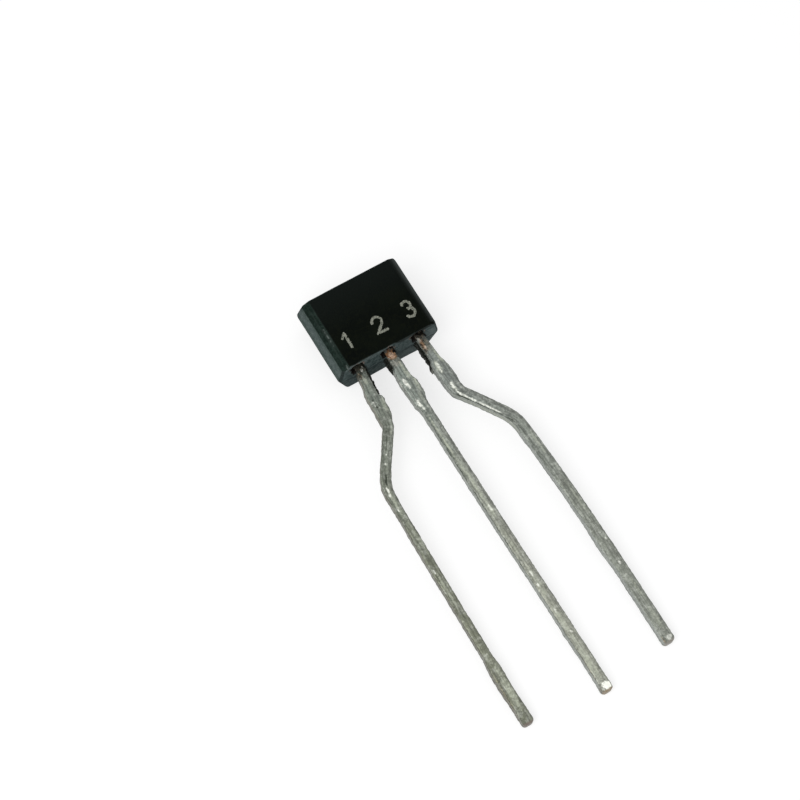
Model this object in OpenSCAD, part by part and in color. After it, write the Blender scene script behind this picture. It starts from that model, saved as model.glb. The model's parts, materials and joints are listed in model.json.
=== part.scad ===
// Small-signal transistor in a flat moulded package with three formed leads.
//
// It is drawn square first: X runs across the leads, Y from the lead tips (-Y) to the
// body's top end (+Y), and Z from the flat back (0) to the face that carries the marking.
// The back edge of the body's lead-exit end is at Y = 0. The whole part is then laid down
// as it rests, on that edge and on the tip of its longest lead.

/* [Body] */
// Width of the body at the parting line, its widest
body_w = 4.22; // [4:0.02:5]
// Height of the body at the parting line, along the leads
body_h = 3.15; // [2.9:0.01:4]
// Thickness of the body, back to marked face
body_t = 2.0; // [1.9:0.05:2.6]
// Height of the parting line above the back
parting_z = 1.0; // [0.9:0.05:1.2]
// Mould draft of the two sides in front of the parting line, in degrees
front_side_draft = 11; // [2:1:15]
// Mould draft of the two sides behind the parting line, in degrees
back_side_draft = 20; // [2:1:24]
// Mould draft of the end that the leads come out of, in degrees
exit_draft = 3; // [1:0.5:6]
// Mould draft of the top end, in degrees
top_draft = 6; // [1:0.5:8]
// Width that each bevel takes from the side of the marked face
bevel_w = 0.26; // [0.1:0.02:0.4]
// Depth of each bevel, from the marked face
bevel_d = 0.23; // [0.2:0.01:0.5]
// Distance that the body sits off the middle lead, towards +X
body_shift = -0.05; // [-0.1:0.01:0.1]
// Depth of the recess over each lead, where it leaves the body
pocket_d = 0.28; // [0.05:0.01:0.35]
// Width of that recess
pocket_w = 0.60; // [0.5:0.02:0.9]
// Height of that recess above the lead
pocket_h = 0.66; // [0.1:0.02:0.7]
// Thickness of the resin left on the side of each lead's neck
flash_w = 0.07; // [0.03:0.01:0.09]

/* [Leads] */
// Spacing of the leads where they leave the body
root_pitch = 1.27; // [1.05:0.01:1.55]
// Thickness of the lead frame
lead_t = 0.40; // [0.3:0.02:0.5]
// Height of the lead frame's middle above the back
lead_z = 1.0; // [0.9:0.05:1.1]
// Width of each lead's neck, next to the body
neck_w = 0.38; // [0.28:0.02:0.44]
// Distance from the body to the shoulder, a stub of the trimmed tie bar
shoulder_start = 1.05; // [0.8:0.05:1.2]
// Length of the shoulder
shoulder_len = 1.15; // [0.7:0.05:1.2]
// Length of the slope at each end of the shoulder
shoulder_slope = 0.25; // [0.1:0.05:0.3]
// Width of the shoulder
shoulder_w = 0.57; // [0.46:0.01:0.62]
// Width of the left lead in its cranked length
left_crank_w = 0.40; // [0.28:0.01:0.44]
// Width of the left lead in its long straight
left_wire_w = 0.33; // [0.28:0.01:0.44]
// Width of the middle lead beyond its shoulder
middle_wire_w = 0.40; // [0.28:0.01:0.44]
// Width of the right lead beyond its shoulder
right_wire_w = 0.44; // [0.28:0.01:0.45]
// Length of the left lead outside the body
left_len = 14.2; // [10:0.1:20]
// Length of the middle lead outside the body
middle_len = 14.6; // [10:0.1:20]
// Length of the right lead outside the body
right_len = 14.3; // [10:0.1:20]
// Radius of the corners of a cut lead tip
tip_r = 0.06; // [0.02:0.01:0.12]
// Radius that the cut rolls over the front edge of each lead tip
tip_roll = 0.14; // [0.04:0.01:0.16]
// Length of the tie bar's stub at the tip of the left lead
stub_len = 2.2; // [1:0.1:4]
// Width of that stub
stub_w = 0.45; // [0.4:0.01:0.5]

/* [Forming] */
// Distance of each formed outer lead from the middle one
formed_pitch = 2.79; // [2.3:0.01:3]
// Outward angle of the left lead's neck, in degrees
left_neck_splay = 5; // [0:0.5:8]
// Outward angle of the right lead's neck, in degrees
right_neck_splay = 4; // [0:0.5:8]
// Distance from the body to the left lead's first bend
left_crank_start = 2.2; // [2.2:0.05:3]
// Distance from the body to the right lead's first bend
right_crank_start = 2.35; // [2.2:0.05:3]
// Outward angle of the cranked length, in degrees
crank_angle = 34; // [25:1:45]
// Radius of the first bend, along the middle of the lead
first_bend_r = 0.5; // [0.3:0.05:0.8]
// Radius of the second bend, along the middle of the lead
second_bend_r = 1.4; // [0.4:0.05:1.5]
// Outward angle of the outer leads' long straight, in degrees
tip_splay = 1; // [0:0.1:2]
// Sideways lean of the middle lead, in degrees
middle_lean = 0.3; // [0:0.1:1]

/* [Inside] */
// Width of the die pad at the end of the middle lead
pad_w = 1.1; // [0.8:0.05:1.2]
// Height of the die pad
pad_h = 1.5; // [0.9:0.05:1.6]
// Distance from the lead-exit end to the die pad
pad_start = 0.75; // [0.5:0.05:0.9]
// Width of the bonding post at the end of each outer lead
post_w = 0.6; // [0.45:0.01:0.65]
// Height of the bonding post
post_h = 0.55; // [0.4:0.05:0.8]
// Distance from the lead-exit end to the bonding posts
post_start = 0.8; // [0.5:0.05:1]
// Side of the square silicon die
die_side = 0.48; // [0.36:0.02:0.6]
// Thickness of the silicon die
die_t = 0.15; // [0.1:0.01:0.2]
// Thickness of the layer that fixes the die to its pad
attach_t = 0.02; // [0.01:0.01:0.04]
// Width of that layer which shows round the die
attach_rim = 0.04; // [0.02:0.01:0.08]
// Diameter of the gold bond wires
bond_d = 0.03; // [0.02:0.005:0.04]
// Diameter of the flattened gold at each end of a bond wire
bond_foot_d = 0.09; // [0.07:0.01:0.12]
// Rise of a bond wire's arch above the straight line between its ends
bond_rise = 0.22; // [0.1:0.01:0.3]
// Distance of each bond from the middle of the die, both ways
bond_spot = 0.11; // [0.05:0.01:0.12]

/* [Hidden] */
$fn = 48;
// Reach of a cutting shape past what it cuts
past = 1;
// Straight steps in each bend and each rounded corner of a lead
bend_steps = 8;

// The parting line stands out past the back edge of the lead-exit end
exit_y = -parting_z * tan(exit_draft);
top_y = exit_y + body_h;

lead_back = lead_z - lead_t / 2;
lead_front = lead_z + lead_t / 2;

die_y = pad_start + pad_h / 2;
die_back = lead_front + attach_t;
die_front = die_back + die_t;
post_x = root_pitch + neck_w / 2 - post_w / 2;
post_y = post_start + post_h / 2;

// At rest the tip of the longest lead comes down to the level of the body's edge
longest = max(left_len, middle_len, right_len);
rest_tilt = atan(lead_back / longest);
rest_top = top_y * cos(rest_tilt) - parting_z * sin(rest_tilt);
roll_y = (longest - tip_roll) * cos(rest_tilt);
rest_tip = -roll_y - (lead_front - tip_roll) * sin(rest_tilt) - tip_roll;

// Lays the part down, with the origin on the surface under it, midway along
module lying_down() {
    translate([0, -(rest_top + rest_tip) / 2, 0]) rotate([rest_tilt, 0, 0]) children();
}

// Raises a flat outline into the sheet that the lead frame is stamped from
module lead_frame() {
    translate([0, 0, lead_back]) linear_extrude(height = lead_t) children();
}

// A station on a lead's middle line is [x, y, heading, width], with the heading in degrees
// from -Y towards +X. These two give the station that follows another: further along a
// straight, or round a bend of some radius to a new heading.
function ahead(from, length, width) = [
    from[0] + length * sin(from[2]),
    from[1] - length * cos(from[2]),
    from[2],
    width,
];
function turned(from, radius, heading, width) =
    let (r = heading < from[2] ? -radius : radius)
    [
        from[0] + r * (cos(from[2]) - cos(heading)),
        from[1] + r * (sin(from[2]) - sin(heading)),
        heading,
        width,
    ];
// A whole bend, which brings the lead to a new width as well
function bend(from, radius, heading, width) = [
    for (i = [1 : bend_steps])
        let (t = i / bend_steps)
        turned(from, radius, from[2] + (heading - from[2]) * t, from[3] + (width - from[3]) * t)
];
function last(stations) = stations[len(stations) - 1];

// A lead inside the body: a post or pad some way in, then a stem as wide as the neck
function inner_end(x, start, height, width) =
    [[x, start + height, 0, width], [x, start, 0, width], [0, start, 0, neck_w]];

// The neck of a lead and its shoulder, from where it leaves the body to its width beyond
function neck_and_shoulder(splay, width) =
    let (exit = [0, 0, splay / 2, neck_w / cos(splay / 2)])
    let (neck = ahead([0, 0, splay, neck_w], shoulder_start, neck_w))
    let (slope = ahead(neck, shoulder_slope, shoulder_w))
    let (shoulder = ahead(slope, shoulder_len - 2 * shoulder_slope, shoulder_w))
    [exit, neck, slope, shoulder, ahead(shoulder, shoulder_slope, width)];

// The cut end of a lead, which reaches some length past a station, with its corners rounded
function tip(from, length, width) = [
    for (i = [0 : bend_steps])
        let (angle = 90 * i / bend_steps)
        ahead(from, length - tip_r * (1 - sin(angle)), width - 2 * tip_r * (1 - cos(angle)))
];

// Draws a lead's outline through its stations, down one side and back up the other
module outline(stations) {
    half = [for (s = stations) s[3] / 2 * [cos(s[2]), sin(s[2])]];
    near = [for (i = [0 : len(stations) - 1]) [stations[i][0], stations[i][1]] + half[i]];
    far = [for (i = [len(stations) - 1 : -1 : 0]) [stations[i][0], stations[i][1]] - half[i]];
    polygon(concat(near, far));
}

// What the cut takes off the front edge of a tip at some distance from the body
module roll_over(length) {
    rotate([90, 0, 90])
        linear_extrude(height = 2 * (formed_pitch + past), center = true)
        translate([tip_roll - length, lead_front - tip_roll])
        difference() {
            translate([-tip_roll - past, 0]) square([tip_roll + past, tip_roll + past]);
            circle(r = tip_roll);
        }
}

// An outer lead seen from the front, on the +X side, cranked out to the formed pitch
module outer_outline(splay, crank_start, crank_w, wire_w, length, tip_w) {
    post = inner_end(post_x - root_pitch, post_start, post_h, post_w);
    shoulder = neck_and_shoulder(splay, crank_w);
    past_shoulder = crank_start / cos(splay) - shoulder_start - shoulder_len;
    crank_from = ahead(last(shoulder), past_shoulder, crank_w);
    first = bend(crank_from, first_bend_r, crank_angle, crank_w);
    // The crank is as long as it takes to end the second bend at the formed pitch
    second_x = second_bend_r * (cos(tip_splay) - cos(crank_angle));
    crank_run = (formed_pitch - root_pitch - last(first)[0] - second_x) / sin(crank_angle);
    crank_to = ahead(last(first), crank_run, crank_w);
    second = bend(crank_to, second_bend_r, tip_splay, wire_w);
    straight_run = (length + last(second)[1]) / cos(tip_splay);
    stub = ahead(last(second), straight_run - stub_len - shoulder_slope, wire_w);
    stub_end = ahead(stub, shoulder_slope, tip_w);
    translate([root_pitch, 0]) outline(concat(
        post, shoulder, first, second, [stub, stub_end], tip(stub_end, stub_len, tip_w)
    ));
}

// The middle lead seen from the front, straight, with the die pad at its inner end
module middle_outline() {
    pad = inner_end(0, pad_start, pad_h, pad_w);
    shoulder = neck_and_shoulder(middle_lean, middle_wire_w);
    beyond = middle_len - shoulder_start - shoulder_len;
    outline(concat(pad, shoulder, tip(last(shoulder), beyond, middle_wire_w)));
}

module emitter_lead() {
    color("#8f958a") difference() {
        lead_frame() mirror([1, 0, 0])
            outer_outline(left_neck_splay, left_crank_start, left_crank_w, left_wire_w,
                left_len, stub_w);
        roll_over(left_len);
    }
}

module collector_lead() {
    color("#969c91") difference() {
        lead_frame() middle_outline();
        roll_over(middle_len);
    }
}

module base_lead() {
    color("#9ba196") difference() {
        lead_frame()
            outer_outline(right_neck_splay, right_crank_start, right_wire_w, right_wire_w,
                right_len, right_wire_w);
        roll_over(right_len);
    }
}

module silicon_die() {
    color("#5b6470") translate([0, die_y, die_back + die_t / 2])
        cube([die_side, die_side, die_t], center = true);
}

module die_attach() {
    side = die_side + 2 * attach_rim;
    color("#b9bcc0") translate([0, die_y, lead_front + attach_t / 2])
        cube([side, side, attach_t], center = true);
}

// A wire bent to a round arch between two points
module arch(from, to) {
    along = to - from;
    level = norm([along.x, along.y]);
    chord = norm(along);
    radius = (chord * chord / 4 + bond_rise * bond_rise) / (2 * bond_rise);
    half_turn = asin(chord / 2 / radius);
    translate((from + to) / 2)
        rotate([0, atan2(-along.z, level), atan2(along.y, along.x)])
        translate([0, 0, bond_rise - radius])
        rotate([90, 0, 0]) rotate(90 - half_turn)
        rotate_extrude(angle = 2 * half_turn) translate([radius, 0]) circle(d = bond_d);
}

// A gold wire from the die, on the given side of its middle, to that side's bonding post
module bond_wire(side) {
    on_die = [side * bond_spot, die_y - side * bond_spot, die_front + bond_d / 2];
    on_post = [side * post_x, post_y, lead_front + bond_d / 2];
    color("#d9a441") {
        arch(on_die, on_post);
        for (end = [on_die, on_post])
            translate(end) cylinder(d = bond_foot_d, h = bond_d, center = true);
    }
}

module emitter_bond_wire() {
    bond_wire(-1);
}

module base_bond_wire() {
    bond_wire(1);
}

// The block seen along the leads: its sides slope in from the parting line, and a bevel
// runs down each side of the marked face
module section() {
    widest = body_w / 2;
    side = widest - (body_t - bevel_d - parting_z) * tan(front_side_draft);
    half = [
        [widest - parting_z * tan(back_side_draft), 0],
        [widest, parting_z],
        [side, body_t - bevel_d],
        [side - bevel_w, body_t],
    ];
    polygon(concat(half, [for (i = [len(half) - 1 : -1 : 0]) [-half[i].x, half[i].y]]));
}

// The block seen from the +X side
module side_profile() {
    front = body_t - parting_z;
    polygon([
        [0, 0],
        [exit_y, parting_z],
        [exit_y + front * tan(exit_draft), body_t],
        [top_y - front * tan(top_draft), body_t],
        [top_y, parting_z],
        [top_y - parting_z * tan(top_draft), 0],
    ]);
}

// The moulded block
module block() {
    translate([body_shift, 0, 0]) intersection() {
        translate([0, top_y + past, 0]) rotate([90, 0, 0])
            linear_extrude(height = body_h + 2 * past) section();
        rotate([90, 0, 90]) linear_extrude(height = body_w + 2 * past, center = true)
            side_profile();
    }
}

// Resin squeezed out along the -X side of a lead's neck, and held in the block
module flash(root_x, splay) {
    lead_frame() translate([root_x, 0]) rotate(splay)
        translate([-neck_w / 2 - flash_w, -shoulder_start])
        square([neck_w / 2 + flash_w, shoulder_start + pocket_d]);
}

// The recess over a lead where it leaves the body
module pocket(root_x) {
    translate([root_x - pocket_w / 2, pocket_d - past, lead_front])
        cube([pocket_w, past, pocket_h]);
}

module epoxy_body() {
    color("#1b1f20") difference() {
        union() {
            block();
            flash(0, middle_lean);
            flash(root_pitch, right_neck_splay);
            mirror([1, 0, 0]) flash(root_pitch, left_neck_splay);
        }
        for (root_x = [-root_pitch, 0, root_pitch])
            pocket(root_x);
        emitter_lead();
        collector_lead();
        base_lead();
        silicon_die();
        die_attach();
        emitter_bond_wire();
        base_bond_wire();
    }
}

lying_down() epoxy_body();
lying_down() emitter_lead();
lying_down() collector_lead();
lying_down() base_lead();
lying_down() silicon_die();
lying_down() die_attach();
lying_down() emitter_bond_wire();
lying_down() base_bond_wire();
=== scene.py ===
import itertools
import json
from math import atan2, ceil, cos, hypot, pi, radians, sin, tan

import bpy
import numpy as np
from mathutils import Matrix, Vector


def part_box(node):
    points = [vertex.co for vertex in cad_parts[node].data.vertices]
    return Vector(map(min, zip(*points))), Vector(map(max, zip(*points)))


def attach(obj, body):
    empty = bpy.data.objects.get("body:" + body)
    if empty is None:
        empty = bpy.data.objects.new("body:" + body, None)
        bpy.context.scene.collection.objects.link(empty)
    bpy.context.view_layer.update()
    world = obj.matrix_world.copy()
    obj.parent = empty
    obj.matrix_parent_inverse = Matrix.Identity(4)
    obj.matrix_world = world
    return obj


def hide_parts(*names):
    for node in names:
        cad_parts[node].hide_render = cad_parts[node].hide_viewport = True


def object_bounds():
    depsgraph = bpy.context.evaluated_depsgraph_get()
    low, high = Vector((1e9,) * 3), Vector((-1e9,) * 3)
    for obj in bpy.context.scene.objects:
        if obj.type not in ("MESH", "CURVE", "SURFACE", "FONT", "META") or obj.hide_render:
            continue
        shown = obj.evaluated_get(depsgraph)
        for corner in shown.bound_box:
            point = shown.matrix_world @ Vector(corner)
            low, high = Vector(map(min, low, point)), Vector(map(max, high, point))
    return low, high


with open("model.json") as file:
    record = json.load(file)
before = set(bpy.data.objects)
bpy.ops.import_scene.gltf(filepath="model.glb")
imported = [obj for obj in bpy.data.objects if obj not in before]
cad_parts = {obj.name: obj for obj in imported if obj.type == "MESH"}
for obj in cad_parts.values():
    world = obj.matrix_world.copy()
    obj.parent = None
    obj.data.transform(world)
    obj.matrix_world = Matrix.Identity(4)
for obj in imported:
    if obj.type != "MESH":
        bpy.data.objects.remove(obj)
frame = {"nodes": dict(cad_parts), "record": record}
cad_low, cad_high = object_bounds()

# Shapes are worked out in millimetres on the part drawn square: X runs across the leads, Y
# from their tips up to the top end of the body, and Z from its back to the marked face. The
# back edge of the end that the leads leave is at Y = 0. lay_down() takes them to the frame.
MM = 0.001

# The block
PARTING_Z = 1.0
BODY_H = 3.15
BODY_T = 2.0
FRONT_DRAFT = radians(11)
BACK_DRAFT = radians(20)
EXIT_DRAFT = radians(3)
TOP_DRAFT = radians(6)
BEVEL_W = 0.26
BEVEL_D = 0.23
RECESS_LEFT = 0.34
RECESS_RIGHT = 0.215
RECESS_H = 0.72
RECESS_D = 0.28
RECESS_LEAN = 0.22

# The leads
ROOT_PITCH = 1.27
FORMED_PITCH = 2.79
LEAD_Z = 1.0
LEAD_T = 0.40
NECK_W = 0.38
LEFT_LEN = 14.2
MIDDLE_LEN = 14.6
RIGHT_LEN = 14.22
LEFT_SPLAY = radians(5)
MIDDLE_LEAN = radians(0.3)
RIGHT_SPLAY = radians(4)
LEFT_CRANK_START = 2.2
RIGHT_CRANK_START = 2.35
CRANK_ANGLE = radians(34)
FIRST_BEND_R = 0.5
SECOND_BEND_R = 1.4
TIP_SPLAY = radians(1)
TIP_R = 0.13
TIP_ROLL = 0.14
INNER_REACH = 1.35
PAD_REACH = 2.25

LEAD_LOW = LEAD_Z - LEAD_T / 2
LEAD_TOP = LEAD_Z + LEAD_T / 2
ROOTS = (-ROOT_PITCH, 0, ROOT_PITCH)
EXIT_Y = -PARTING_Z * tan(EXIT_DRAFT)
TOP_Y = EXIT_Y + BODY_H

epoxy_low, epoxy_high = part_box("epoxy_body")
BODY_W = (epoxy_high.x - epoxy_low.x) / MM
BODY_SHIFT = (epoxy_high.x + epoxy_low.x) / 2 / MM

# The part rests tilted: its back's mount gives the tilt, and its top end the place along Y
rest = next(m for m in frame["record"]["mounts"] if m["name"] == "body_back")
TILT = atan2(rest["axis"][1], -rest["axis"][2])
SLIDE = cad_high.y / MM - TOP_Y * cos(TILT) + PARTING_Z * sin(TILT)


def lay_down(points):
    """Takes points drawn square, in millimetres, to the resting part, in metres."""
    x, y, z = np.moveaxis(np.asarray(points, float), -1, 0)
    along = y * cos(TILT) - z * sin(TILT) + SLIDE
    up = y * sin(TILT) + z * cos(TILT)
    return np.stack([x, along, up], -1) * MM


# ---------------- shaping helpers

def ease(low, high, value):
    """0 at low and 1 at high, with a smooth change between."""
    t = np.clip((value - low) / (high - low), 0, 1)
    return t * t * (3 - 2 * t)


LATTICE = 32


def ripple(points, size, seed):
    """Smooth random values from -1 to 1, which change over about size."""
    table = np.random.default_rng(seed).uniform(-1, 1, (LATTICE,) * 3)
    spot = np.asarray(points, float) / size
    cell = np.floor(spot).astype(int)
    t = spot - cell
    t = t * t * (3 - 2 * t)
    total = np.zeros(spot.shape[:-1])
    for corner in itertools.product((0, 1), repeat=3):
        share = np.prod(np.where(corner, t, 1 - t), axis=-1)
        total += share * table[tuple(np.moveaxis((cell + corner) % LATTICE, -1, 0))]
    return total


def along_curve(place, stops):
    """The value at some places of a line through pairs of a place and its value."""
    return np.interp(place, *zip(*stops))


def add_object(name, data):
    made = bpy.data.objects.new(name, data)
    bpy.context.scene.collection.objects.link(made)
    return made


def mesh_piece(name, points, faces, masks, material, node):
    """Makes a piece from points drawn square, with its masks as point attributes."""
    mesh = bpy.data.meshes.new(name)
    mesh.from_pydata(lay_down(points).tolist(), [], [list(f) for f in faces])
    mesh.polygons.foreach_set("use_smooth", [True] * len(mesh.polygons))
    for key, values in masks.items():
        values = np.asarray(values, np.float32)
        kind, field = ("FLOAT", "value") if values.ndim == 1 else ("FLOAT_VECTOR", "vector")
        layer = mesh.attributes.new(key, kind, "POINT")
        layer.data.foreach_set(field, values.ravel())
    mesh.materials.append(material)
    mesh.update()
    piece = add_object(name, mesh)
    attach(piece, "root")
    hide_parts(node)


def slope_of(field, points, reach=0.004):
    """The way out of a field's surface at some points, as unit vectors, and how steep it is."""
    steps = reach * np.eye(3)
    slope = np.stack([field(points + s) - field(points - s) for s in steps], -1) / (2 * reach)
    size = np.linalg.norm(slope, axis=-1, keepdims=True)
    return slope / np.maximum(size, 1e-9), size[..., 0]


CORNERS = list(itertools.product((0, 1), repeat=3))
SETTLE_STEPS = 3


def surface_cells(value, counts):
    """Numbers the cells that the surface passes through, and gives the point of each: the middle
    of the places where its edges cross the surface, in cells from the low corner."""
    window = {c: tuple(slice(k, n - 1 + k) for k, n in zip(c, counts)) for c in CORNERS}
    held = sum((value[window[c]] < 0).astype(int) for c in CORNERS)
    active = (held > 0) & (held < 8)
    number = np.full(active.shape, -1)
    number[active] = np.arange(active.sum())
    total = np.zeros((active.sum(), 3))
    hits = np.zeros(active.sum())
    for a, b in itertools.combinations(CORNERS, 2):
        if np.abs(np.subtract(a, b)).sum() != 1:
            continue
        va, vb = value[window[a]][active], value[window[b]][active]
        crossed = (va < 0) != (vb < 0)
        t = np.where(crossed, va / np.where(crossed, va - vb, 1), 0)
        place = np.asarray(a) + t[:, None] * (np.asarray(b) - np.asarray(a))
        total += place * crossed[:, None]
        hits += crossed
    return number, np.argwhere(active) + total / hits[:, None]


def surface_quads(value, number, counts):
    """A grid edge that crosses the surface gives one quad, of the four cells round it."""
    inside = value < 0
    faces = []
    for axis in range(3):
        others = [k for k in range(3) if k != axis]
        near = [slice(1, n - 1) for n in counts]
        near[axis] = slice(0, counts[axis] - 1)
        far = list(near)
        far[axis] = slice(1, counts[axis])
        change = inside[tuple(near)].astype(int) - inside[tuple(far)].astype(int)
        for way_out in (1, -1):
            spots = np.argwhere(change == way_out) + (np.arange(3) != axis)
            ring = []
            for steps in ((0, 0), (1, 0), (1, 1), (0, 1)):
                shift = np.zeros(3, int)
                shift[others] = steps
                ring.append(number[tuple((spots - shift).T)])
            flip = (way_out < 0) != (axis == 1)
            faces.append(np.stack(ring[::-1] if flip else ring, 1))
    return np.concatenate(faces)


def skin(field, low, high, cell):
    """Quads over the surface where a field, which is negative inside, is 0."""
    low, high, cell = (np.asarray(v, float) * np.ones(3) for v in (low, high, cell))
    counts = np.ceil((high - low) / cell).astype(int) + 1
    axes = [start + step * np.arange(n) for start, step, n in zip(low, cell, counts)]
    value = field(np.stack(np.meshgrid(*axes, indexing="ij"), -1))
    number, places = surface_cells(value, counts)
    points = low + places * cell
    # Each point then moves onto the surface itself
    for _ in range(SETTLE_STEPS):
        way, size = slope_of(field, points)
        move = field(points) / np.maximum(size, 0.2)
        points = points - way * np.clip(move, -cell.min() / 2, cell.min() / 2)[:, None]
    return points, surface_quads(value, number, counts)


# ---------------- materials

def tint(code):
    """A screen colour, RRGGBB, in the linear values that Blender uses."""
    parts = [int(code[k:k + 2], 16) / 255 for k in (0, 2, 4)]
    linear = [p / 12.92 if p <= 0.04045 else ((p + 0.055) / 1.055) ** 2.4 for p in parts]
    return (*linear, 1.0)


class Look:
    """A procedural material, with a short call for each kind of node."""

    def __init__(self, name, **settings):
        self.material = bpy.data.materials.new(name)
        self.material.use_nodes = True
        self.tree = self.material.node_tree
        self.shader = self.tree.nodes["Principled BSDF"]
        self.feed(self.shader, {key.replace("_", " "): value for key, value in settings.items()})

    def feed(self, node, values):
        """Links a node's inputs, or sets them where a value is a number or a colour's code."""
        for key, value in values.items():
            if isinstance(value, bpy.types.NodeSocket):
                self.tree.links.new(value, node.inputs[key])
            else:
                node.inputs[key].default_value = tint(value) if isinstance(value, str) else value
        return node

    def node(self, kind, **settings):
        made = self.tree.nodes.new(kind)
        for key, value in settings.items():
            setattr(made, key, value)
        return made

    def mask(self, name):
        """One number for each point."""
        return self.node("ShaderNodeAttribute", attribute_name=name).outputs["Fac"]

    def place(self, name):
        """Three numbers for each point, such as its place in millimetres."""
        return self.node("ShaderNodeAttribute", attribute_name=name).outputs["Vector"]

    def stretch(self, place, x, y, z):
        made = self.node("ShaderNodeVectorMath", operation="MULTIPLY")
        return self.feed(made, {0: place, 1: (x, y, z)}).outputs[0]

    def part(self, place, axis):
        """One of the three numbers of a place."""
        return self.feed(self.node("ShaderNodeSeparateXYZ"), {0: place}).outputs[axis]

    def noise(self, place, scale, detail=3, rough=0.55):
        values = {"Vector": place, "Scale": scale, "Detail": detail, "Roughness": rough}
        return self.feed(self.node("ShaderNodeTexNoise"), values).outputs["Fac"]

    def span(self, value, low, high, out_low=0, out_high=1):
        """out_low at low and out_high at high, with a smooth change between."""
        made = self.node("ShaderNodeMapRange", interpolation_type="SMOOTHSTEP")
        ends = {"From Min": low, "From Max": high, "To Min": out_low, "To Max": out_high}
        return self.feed(made, {"Value": value, **ends}).outputs[0]

    def math(self, operation, *values):
        made = self.node("ShaderNodeMath", operation=operation)
        return self.feed(made, dict(enumerate(values))).outputs[0]

    def mix(self, amount, first, second, blend="MIX"):
        made = self.node("ShaderNodeMix", data_type="RGBA", blend_type=blend)
        return self.feed(made, {0: amount, 6: first, 7: second}).outputs[2]

    def shades(self, pattern, low, high, first, second):
        """One colour where a pattern is low, and another where it is high."""
        return self.mix(self.span(pattern, low, high), first, second)

    def coat(self, colour, **coats):
        """Lays further colours over one, each where the mask of its name says."""
        for name, over in coats.items():
            colour = self.mix(self.mask(name), colour, over)
        return colour

    def bump(self, height, distance, under=None):
        values = {"Height": height, "Distance": distance * MM}
        if under is not None:
            values["Normal"] = under
        return self.feed(self.node("ShaderNodeBump"), values).outputs[0]

    def finish(self, colour, roughness, normal):
        values = {"Base Color": colour, "Roughness": roughness, "Normal": normal}
        self.feed(self.shader, values)
        return self.material


def resin_tones(look, place, blotch):
    """The resin's colour: a black face, dark bevels, and greyer sides, ends and back, with painted sheen
    on the face, the right bevel, the lead-exit end and the left side.
    """
    cloud = look.noise(place, 1.6, 4)
    face = look.shades(cloud, 0.3, 0.7, "0c0f0d", "10140f")
    face = look.mix(look.span(blotch, 0.45, 0.7), face, "12150f")
    # The face is painted lighter towards the top end: a painted sheen
    face = look.mix(look.span(look.part(place, 1), 1, TOP_Y), face, "161a18")
    return look.coat(
        look.shades(blotch, 0.3, 0.7, "2c3433", "3b4342"),
        end=look.shades(blotch, 0.35, 0.65, "32403f", "4e5a5a"),
        side=look.shades(blotch, 0.35, 0.65, "495552", "57635f"),
        # Painted sheen on the right bevel, lighter towards its outer edge and the top end
        far_bevel=look.coat("10130f", outward="4a504e"),
        bevel=look.shades(blotch, 0.35, 0.7, "1a2520", "26322d"),
        face=face,
        # Painted sheen: lighter places on the lead-exit end and a band on the left side
        dusty=look.shades(blotch, 0.3, 0.7, "5f6a69", "6c7676"))


def resin_rub_and_highlight(look, place, blotch):
    """Where the resin is rubbed and carries a painted highlight: on the left bevel's ridge and the face's
    lower edge.
    """
    speck = look.noise(place, 60, 2)
    off = look.math("ABSOLUTE", look.math("SUBTRACT", look.part(place, 0), RIDGE_X))
    line = look.math("MULTIPLY", look.span(off, 0.036, 0.004), look.span(blotch, 0.38, 0.6))
    line = look.math("MAXIMUM", line, look.span(off, 0.1, 0.02, 0, 0.14))
    edge = look.math("MULTIPLY", look.mask("rim_wear_and_highlight"), look.span(speck, 0.4, 0.62))
    return look.math("MAXIMUM", edge, look.math("MULTIPLY", look.mask("worn_and_highlight"), line))


def resin_look():
    """Black moulding resin: a smooth face, greyer sides and a fine mould grain."""
    look = Look("black_resin", IOR=1.45, Specular_IOR_Level=0.006)
    place = look.place("square")
    grain = look.noise(place, 28, 4, 0.65)
    blotch = look.noise(place, 7, 3)
    colour = resin_tones(look, place, blotch)
    colour = look.mix(1, colour, look.span(grain, 0.36, 0.64, 0.78, 1.22), "MULTIPLY")
    # Painted highlight and wear: a pale line along the left bevel's ridge and the face's lower edge
    colour = look.mix(resin_rub_and_highlight(look, place, blotch), colour, "6a726e")
    # Painted shade in the parting-line groove and inside the recesses, and the recesses' tan rims
    colour = look.coat(colour, shade="0c0d0c",
                       soot=look.shades(grain, 0.4, 0.62, "060403", "2b211b"),
                       rim=look.shades(grain, 0.4, 0.6, "4a423c", "8f8279"))
    rough = look.span(grain, 0.3, 0.7, 0.5, 0.72)
    return look.finish(colour, rough, look.bump(blotch, 0.006, look.bump(grain, 0.004)))


def flash_look():
    """Thin resin squeezed out beside a lead: blacker, glossier and chipped."""
    look = Look("resin_flash", IOR=1.45, Specular_IOR_Level=0.1)
    chips = look.noise(look.place("square"), 22, 3, 0.6)
    colour = look.shades(chips, 0.45, 0.72, "10130f", "3a3c36")
    colour = look.coat(colour, grey="7a7b74")
    return look.finish(colour, look.span(chips, 0.3, 0.7, 0.35, 0.6), look.bump(chips, 0.01))


def mark_look():
    """Resin turned pale by the laser that marks the face."""
    look = Look("laser_mark", IOR=1.45, Specular_IOR_Level=0.1)
    place = look.place("square")
    burn = look.noise(place, 26, 3, 0.6)
    fine = look.noise(place, 70, 2)
    colour = look.shades(burn, 0.35, 0.65, "61665c", "9a9b8f")
    return look.finish(colour, look.span(fine, 0.3, 0.7, 0.6, 0.85), look.bump(fine, 0.006))


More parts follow.
